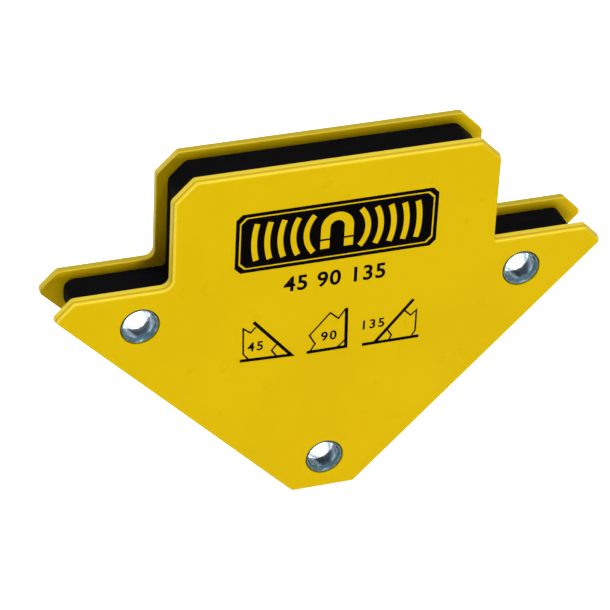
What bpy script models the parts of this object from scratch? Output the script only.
"""Arrow-shaped magnetic welding holder, modelled at rest in metres with +Z up.

Two stamped steel plates are clamped on a moulded spacer frame by three hollow rivets.
Ferrite blocks sit in the frame's pockets and make the two plates the magnet's poles.
The arrow points down: its two long edges meet at a right angle above a short flat, which is z = 0.
X runs across the holder and Y through its thickness, with the front plate on the -Y side.
"""

import math

import bmesh
import bpy

MM = 0.001

# Plate outline
OVERALL_WIDTH = 111.5 * MM
FOOT_WIDTH = 13.1 * MM
TIP_CHAMFER = 3.95 * MM
BLOCK_WIDTH = 65.7 * MM
BLOCK_HEIGHT = 22.8 * MM
BLOCK_CHAMFER = 4.3 * MM
OUTER_CORNER_RADIUS = 1.2 * MM
FOOT_CORNER_RADIUS = 1.0 * MM
LEFT_NOTCH_RADIUS = 1.7 * MM
RIGHT_NOTCH_RADIUS = 0.5 * MM

# Thicknesses and edges
OVERALL_THICKNESS = 12.7 * MM
PLATE_THICKNESS = 1.8 * MM
PLATE_FACE_ROUND = 0.75 * MM
PLATE_INNER_ROUND = 0.25 * MM
SEAT_GAP = 0.3 * MM

# Spacer frame
EDGE_RECESS = 1.8 * MM
BLOCK_SIDE_RECESS = 2.2 * MM
FRAME_TIP_SETBACK = 5.0 * MM
FRAME_BLOCK_CHAMFER = 3.4 * MM
FRAME_CORNER_RADIUS = 2.0 * MM
FRAME_NOTCH_RADIUS = 0.8 * MM
FRAME_WALL = 3.6 * MM
FRAME_RIB = 3.0 * MM
BOSS_WALL = 2.7 * MM
POCKET_CORNER_RADIUS = 0.8 * MM

# Ferrite blocks
MAGNET_FIT = 0.25 * MM
MAGNET_EDGE_CHAMFER = 0.4 * MM

# Hollow rivets and their holes
RIVET_FROM_TIP = 17.0 * MM
RIVET_BELOW_LEDGE = 7.7 * MM
RIVET_ABOVE_FOOT = 7.4 * MM
RIVET_BORE_RADIUS = 3.1 * MM
RIVET_WALL = 0.55 * MM
RIVET_MOUTH_FLARE = 0.42 * MM
RIVET_MOUTH_DEPTH = 1.2 * MM
RIVET_MOUTH_SETBACK = 0.12 * MM
RIVET_FIT = 0.25 * MM
PLATE_HOLE_CHAMFER = 0.08 * MM

# Fineness of round stretches
ARC_STEP = math.radians(15)
ROUND_SEGMENTS = 36
FACE_ROUND_SEGMENTS = 3
MOUTH_STEPS = 4

ROOT_TWO = math.sqrt(2)
CUT_THROUGH = 2 * MM

# Places that follow from the driving sizes
HALF_WIDTH = OVERALL_WIDTH / 2
HALF_FOOT = FOOT_WIDTH / 2
HALF_BLOCK = BLOCK_WIDTH / 2
HALF_THICKNESS = OVERALL_THICKNESS / 2
TIP_Z = HALF_WIDTH - HALF_FOOT
LEDGE_Z = TIP_Z + TIP_CHAMFER
TOP_Z = LEDGE_Z + BLOCK_HEIGHT

FRAME_HALF_BLOCK = HALF_BLOCK - BLOCK_SIDE_RECESS
FRAME_HALF_TIP = HALF_WIDTH - FRAME_TIP_SETBACK
FRAME_TOP_Z = TOP_Z - EDGE_RECESS
FRAME_LEDGE_Z = LEDGE_Z - EDGE_RECESS
FRAME_HALF_THICKNESS = HALF_THICKNESS - PLATE_THICKNESS - SEAT_GAP

BARREL_RADIUS = RIVET_BORE_RADIUS + RIVET_WALL
RIVET_HOLE_RADIUS = BARREL_RADIUS + RIVET_FIT
BOSS_RADIUS = RIVET_HOLE_RADIUS + BOSS_WALL
RIVET_X = HALF_WIDTH - RIVET_FROM_TIP
RIVET_Z = LEDGE_Z - RIVET_BELOW_LEDGE
RIVET_PLACES = {
    "left": (-RIVET_X, RIVET_Z),
    "right": (RIVET_X, RIVET_Z),
    "bottom": (0.0, RIVET_ABOVE_FOOT),
}


def slope_offset(inset):
    """How far z lies above |x| along the frame's long edge when that edge is moved in by inset."""
    return ROOT_TWO * inset - HALF_FOOT


# ---------------------------------------------------------------- shapes in the plane of the plates


def mirrored(right_side):
    """The whole outline, from corners listed up the right side as (x, z, radius)."""
    left_side = [(-x, z, radius) for x, z, radius in reversed(right_side)]
    return right_side + left_side


def plate_corners():
    """The plate's corners, anticlockwise as seen from the front, starting right of the foot."""
    corners = mirrored([
        (HALF_FOOT, 0.0, FOOT_CORNER_RADIUS),
        (HALF_WIDTH, TIP_Z, OUTER_CORNER_RADIUS),
        (HALF_WIDTH - TIP_CHAMFER, LEDGE_Z, OUTER_CORNER_RADIUS),
        (HALF_BLOCK, LEDGE_Z, RIGHT_NOTCH_RADIUS),
        (HALF_BLOCK, TOP_Z - BLOCK_CHAMFER, OUTER_CORNER_RADIUS),
        (HALF_BLOCK - BLOCK_CHAMFER, TOP_Z, OUTER_CORNER_RADIUS),
    ])
    return [
        (x, z, LEFT_NOTCH_RADIUS if (x, z) == (-HALF_BLOCK, LEDGE_Z) else radius)
        for x, z, radius in corners
    ]


def frame_corners():
    """The spacer frame's corners, on edges parallel to the plates' but with its tips cut off upright."""
    long_edge = slope_offset(EDGE_RECESS)
    return mirrored([
        (EDGE_RECESS - long_edge, EDGE_RECESS, FRAME_CORNER_RADIUS),
        (FRAME_HALF_TIP, FRAME_HALF_TIP + long_edge, FRAME_CORNER_RADIUS),
        (FRAME_HALF_TIP, FRAME_LEDGE_Z, FRAME_CORNER_RADIUS),
        (FRAME_HALF_BLOCK, FRAME_LEDGE_Z, FRAME_NOTCH_RADIUS),
        (FRAME_HALF_BLOCK, FRAME_TOP_Z - FRAME_BLOCK_CHAMFER, FRAME_CORNER_RADIUS),
        (FRAME_HALF_BLOCK - FRAME_BLOCK_CHAMFER, FRAME_TOP_Z, FRAME_CORNER_RADIUS),
    ])


def box_corners(width, height, radius):
    """A rectangle round the origin, with round corners."""
    signs = ((1, -1), (1, 1), (-1, 1), (-1, -1))
    return [(x_sign * width / 2, z_sign * height / 2, radius) for x_sign, z_sign in signs]


def rounded(corners):
    """The outline's points, with each corner replaced by an arc that touches both of its sides."""
    points = []
    for i, (x, z, radius) in enumerate(corners):
        before, after = corners[i - 1], corners[(i + 1) % len(corners)]
        into = unit(x - before[0], z - before[1])
        out_of = unit(after[0] - x, after[1] - z)
        across = into[0] * out_of[1] - into[1] * out_of[0]
        along = into[0] * out_of[0] + into[1] * out_of[1]
        turn = math.atan2(across, along)
        reach = radius * math.tan(abs(turn) / 2)
        side = math.copysign(1.0, turn)
        start = (x - into[0] * reach, z - into[1] * reach)
        centre = (start[0] - into[1] * radius * side, start[1] + into[0] * radius * side)
        steps = max(2, math.ceil(abs(turn) / ARC_STEP))
        for step in range(steps + 1):
            points.append(rotated(start, centre, turn * step / steps))
    return points


def unit(x, z):
    """The direction of (x, z), with a length of 1."""
    length = math.hypot(x, z)
    return x / length, z / length


def rotated(point, centre, angle):
    """The point, turned anticlockwise round the centre by an angle in radians."""
    x, z = point[0] - centre[0], point[1] - centre[1]
    cos, sin = math.cos(angle), math.sin(angle)
    return centre[0] + x * cos - z * sin, centre[1] + x * sin + z * cos


# ---------------------------------------------------------------- solids


def make_object(name, bm, material):
    bmesh.ops.recalc_face_normals(bm, faces=bm.faces)
    mesh = bpy.data.meshes.new(name)
    bm.to_mesh(mesh)
    bm.free()
    mesh.shade_smooth()
    mesh.set_sharp_from_angle(angle=math.radians(35))
    if material:
        mesh.materials.append(material)
    obj = bpy.data.objects.new(name, mesh)
    bpy.context.scene.collection.objects.link(obj)
    return obj


def prism(outline, y_front, y_rear):
    """The outline carried through the thickness as a closed solid."""
    bm = bmesh.new()
    front = [bm.verts.new((x, y_front, z)) for x, z in outline]
    rear = [bm.verts.new((x, y_rear, z)) for x, z in outline]
    bm.faces.new(front)
    bm.faces.new(rear[::-1])
    for i in range(len(outline)):
        bm.faces.new((front[i - 1], rear[i - 1], rear[i], front[i]))
    return bm


def round_rim(bm, y, width, segments):
    """Rounds the edges that lie in the face at y."""
    rim = [edge for edge in bm.edges if all(abs(vert.co.y - y) < width / 100 for vert in edge.verts)]
    bmesh.ops.bevel(
        bm, geom=rim, offset=width, offset_type="OFFSET", segments=segments, profile=0.5, affect="EDGES"
    )


def turned(profile, closed):
    """The profile of (radius, y) points turned round the Y axis. An open one gets flat ends."""
    bm = bmesh.new()
    rings = []
    for segment in range(ROUND_SEGMENTS):
        angle = 2 * math.pi * segment / ROUND_SEGMENTS
        cos, sin = math.cos(angle), math.sin(angle)
        rings.append([bm.verts.new((radius * cos, y, radius * sin)) for radius, y in profile])
    first = 0 if closed else 1
    for i, ring in enumerate(rings):
        for j in range(first, len(profile)):
            bm.faces.new((rings[i - 1][j - 1], ring[j - 1], ring[j], rings[i - 1][j]))
    if not closed:
        bm.faces.new([ring[0] for ring in rings])
        bm.faces.new([ring[-1] for ring in reversed(rings)])
    return bm


def cutter(name, bm, x, z):
    obj = make_object(name, bm, None)
    obj.location = (x, 0, z)
    obj.hide_render = True
    obj.display_type = "WIRE"
    return obj


def cut(obj, tool):
    modifier = obj.modifiers.new("cut " + tool.name, "BOOLEAN")
    modifier.operation = "DIFFERENCE"
    modifier.solver = "EXACT"
    modifier.object = tool


def principled(name, colour, roughness, metallic):
    material = bpy.data.materials.new(name)
    material.use_nodes = True
    shader = material.node_tree.nodes["Principled BSDF"]
    shader.inputs["Base Color"].default_value = (*colour, 1)
    shader.inputs["Roughness"].default_value = roughness
    shader.inputs["Metallic"].default_value = metallic
    return material


# ---------------------------------------------------------------- the pieces


def plate_hole_profile(facing):
    """A rivet hole in the plate on that side, with a small chamfer at the plate's outer face.

    The chamfer's cone runs on past the face, so that none of the cutter's edges lies in the face.
    """
    inner = facing * (HALF_THICKNESS - PLATE_THICKNESS)
    chamfer_start = facing * (HALF_THICKNESS - PLATE_HOLE_CHAMFER)
    return [
        (RIVET_HOLE_RADIUS, inner - facing * CUT_THROUGH),
        (RIVET_HOLE_RADIUS, chamfer_start),
        (RIVET_HOLE_RADIUS + CUT_THROUGH, chamfer_start + facing * CUT_THROUGH),
    ]


def build_plate(name, facing, paint):
    """A stamped plate. facing is -1 for the front plate and 1 for the rear one."""
    outer = facing * HALF_THICKNESS
    inner = facing * (HALF_THICKNESS - PLATE_THICKNESS)
    bm = prism(rounded(plate_corners()), min(outer, inner), max(outer, inner))
    round_rim(bm, outer, PLATE_FACE_ROUND, FACE_ROUND_SEGMENTS)
    round_rim(bm, inner, PLATE_INNER_ROUND, 1)
    plate = make_object(name, bm, paint)
    for place, (x, z) in RIVET_PLACES.items():
        tool = turned(plate_hole_profile(facing), closed=False)
        cut(plate, cutter(f"{name}_hole_{place}", tool, x, z))


def rivet_profile():
    """The rivet's wall: along its bore from the front mouth to the rear one, then back along its outside.

    At both mouths the bore opens out along a quarter of an ellipse.
    """
    mouth_y = HALF_THICKNESS - RIVET_MOUTH_SETBACK
    bore = []
    for step in range(MOUTH_STEPS + 1):
        angle = math.pi / 2 * step / MOUTH_STEPS
        radius = RIVET_BORE_RADIUS + RIVET_MOUTH_FLARE * (1 - math.sin(angle))
        bore.append((radius, RIVET_MOUTH_DEPTH * (1 - math.cos(angle)) - mouth_y))
    bore += [(radius, -y) for radius, y in reversed(bore)]
    return bore + [(BARREL_RADIUS, mouth_y), (BARREL_RADIUS, -mouth_y)]


def build_rivets(zinc):
    for place, (x, z) in RIVET_PLACES.items():
        rivet = make_object(f"rivet_{place}", turned(rivet_profile(), closed=True), zinc)
        rivet.location = (x, 0, z)


def pocket_layout():
    """The five magnet pockets as name to (x, z), with their common width and height.

    Two rows of two fill the block and the middle, as wide as the block's walls and the side rivets allow.
    The fifth sits below them, as low as the narrowing frame and the bottom rivet allow.
    """
    half_space = min(FRAME_HALF_BLOCK - FRAME_WALL, RIVET_X - BOSS_RADIUS)
    width = half_space - FRAME_RIB / 2
    low = max(RIVET_ABOVE_FOOT + BOSS_RADIUS, width / 2 + slope_offset(EDGE_RECESS + FRAME_WALL))
    high = FRAME_TOP_Z - FRAME_WALL
    height = (high - low - 2 * FRAME_RIB) / 3
    across = (FRAME_RIB + width) / 2
    lower_z, middle_z, upper_z = (low + height / 2 + row * (height + FRAME_RIB) for row in range(3))
    places = {
        "upper_left": (-across, upper_z),
        "upper_right": (across, upper_z),
        "middle_left": (-across, middle_z),
        "middle_right": (across, middle_z),
        "lower": (0.0, lower_z),
    }
    return places, width, height


def build_spacer_frame(plastic):
    bm = prism(rounded(frame_corners()), -FRAME_HALF_THICKNESS, FRAME_HALF_THICKNESS)
    frame = make_object("spacer_frame", bm, plastic)
    past = FRAME_HALF_THICKNESS + CUT_THROUGH
    for place, (x, z) in RIVET_PLACES.items():
        tool = turned([(RIVET_HOLE_RADIUS, -past), (RIVET_HOLE_RADIUS, past)], closed=False)
        cut(frame, cutter(f"frame_hole_{place}", tool, x, z))
    places, width, height = pocket_layout()
    for place, (x, z) in places.items():
        outline = rounded(box_corners(width, height, POCKET_CORNER_RADIUS))
        cut(frame, cutter(f"frame_pocket_{place}", prism(outline, -past, past), x, z))


def build_magnets(ferrite):
    places, width, height = pocket_layout()
    for place, (x, z) in places.items():
        magnet_width, magnet_height = width - 2 * MAGNET_FIT, height - 2 * MAGNET_FIT
        bm = bmesh.new()
        bmesh.ops.create_cube(bm, size=1)
        bmesh.ops.scale(bm, verts=bm.verts, vec=(magnet_width, 2 * FRAME_HALF_THICKNESS, magnet_height))
        bmesh.ops.bevel(
            bm, geom=bm.edges[:], offset=MAGNET_EDGE_CHAMFER, offset_type="OFFSET",
            segments=1, profile=0.5, affect="EDGES",
        )
        magnet = make_object(f"ferrite_magnet_{place}", bm, ferrite)
        magnet.location = (x, 0, z)


def main():
    for obj in list(bpy.data.objects):
        bpy.data.objects.remove(obj, do_unlink=True)
    paint = principled("yellow_powder_coat", (0.78, 0.52, 0.01), roughness=0.35, metallic=0.0)
    plastic = principled("black_moulded_plastic", (0.012, 0.012, 0.014), roughness=0.45, metallic=0.0)
    ferrite = principled("ferrite", (0.06, 0.06, 0.065), roughness=0.7, metallic=0.0)
    zinc = principled("zinc_plated_steel", (0.55, 0.62, 0.68), roughness=0.3, metallic=1.0)
    build_plate("front_plate", -1, paint)
    build_plate("rear_plate", 1, paint)
    build_spacer_frame(plastic)
    build_magnets(ferrite)
    build_rivets(zinc)


main()
